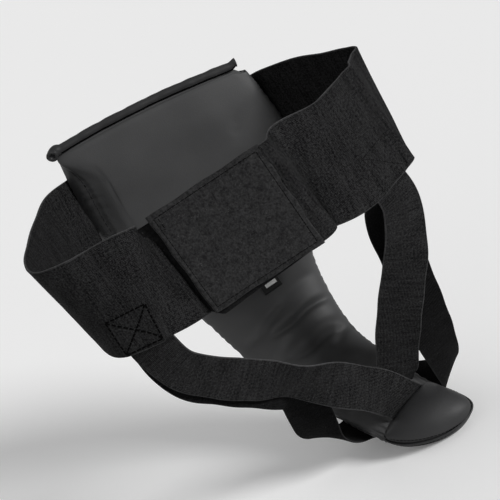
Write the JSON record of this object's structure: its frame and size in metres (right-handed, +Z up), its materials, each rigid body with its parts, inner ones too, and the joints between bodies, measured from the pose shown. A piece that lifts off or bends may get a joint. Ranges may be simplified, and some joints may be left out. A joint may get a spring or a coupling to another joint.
{
  "type": "groin protector",
  "caption": "Black martial arts groin protector: wide elastic waist belt with a rear closure flap, padded artificial leather pouch over a rigid cup, elastic leg bands and a padded tail.",
  "frame": {"origin": "centre of the waist loop at the belt's mid height, closed and as worn", "axes": "+Z up (head of the wearer), -Y to the wearer's front (pouch side), +X to the wearer's left"},
  "size_m": [0.3319, 0.2577, 0.3614],
  "materials": {
    "leather": "smooth artificial leather, satin",
    "foam": "closed cell foam, matte",
    "cushion": "soft cushion, matte",
    "cup": "moulded plastic, smooth",
    "elastic": "woven elastic webbing, matte",
    "plush": "brushed loop fabric, matte",
    "hook_tape": "hook tape, matte",
    "label": "woven satin label",
    "thread": "polyester thread"
  },
  "bodies": {
    "harness": {"pouch_inner_skin": "leather", "pouch_outer_skin": "leather", "top_binding": "leather", "outer_foam": "foam", "inner_foam": "foam", "abdomen_foam": "foam", "cup_cushion": "cushion", "cup_shell": "cup", "belt_left": "elastic", "belt_right_front": "elastic", "band_left_rear": "elastic", "band_left_side": "elastic", "band_right_rear": "elastic", "band_right_side": "elastic", "closure_panel": "plush", "loop_patch": "plush", "size_label": "label", "box_stitch_left": "thread", "box_stitch_right": "thread"},
    "belt_end": {"belt_right_rear": "elastic"},
    "flap": {"flap_base": "elastic", "flap_cover": "plush", "hook_strip": "hook_tape"},
    "tail": {"tail_upper_skin": "leather", "tail_under_skin": "leather", "tail_foam": "foam", "tail_welt": "leather"}
  },
  "joints": [
    {"name": "belt_swing", "type": "hinge", "parent": "harness", "child": "belt_end", "pos_m": [-0.06825, 0.10655, 0.00644], "axis": [-0.082, -0.0728, 0.994], "range_deg": [0, 60]},
    {"name": "flap_peel", "type": "hinge", "parent": "belt_end", "child": "flap", "pos_m": [-0.04172, 0.11127, 0.0047], "axis": [0.0689, -0.0109, 0.9976], "range_deg": [0, 90]},
    {"name": "tail_fold", "type": "hinge", "parent": "harness", "child": "tail", "pos_m": [-0.04331, 0.04898, -0.25263], "axis": [0.9428, 0.2892, -0.1659], "range_deg": [0, 45]}
  ]
}
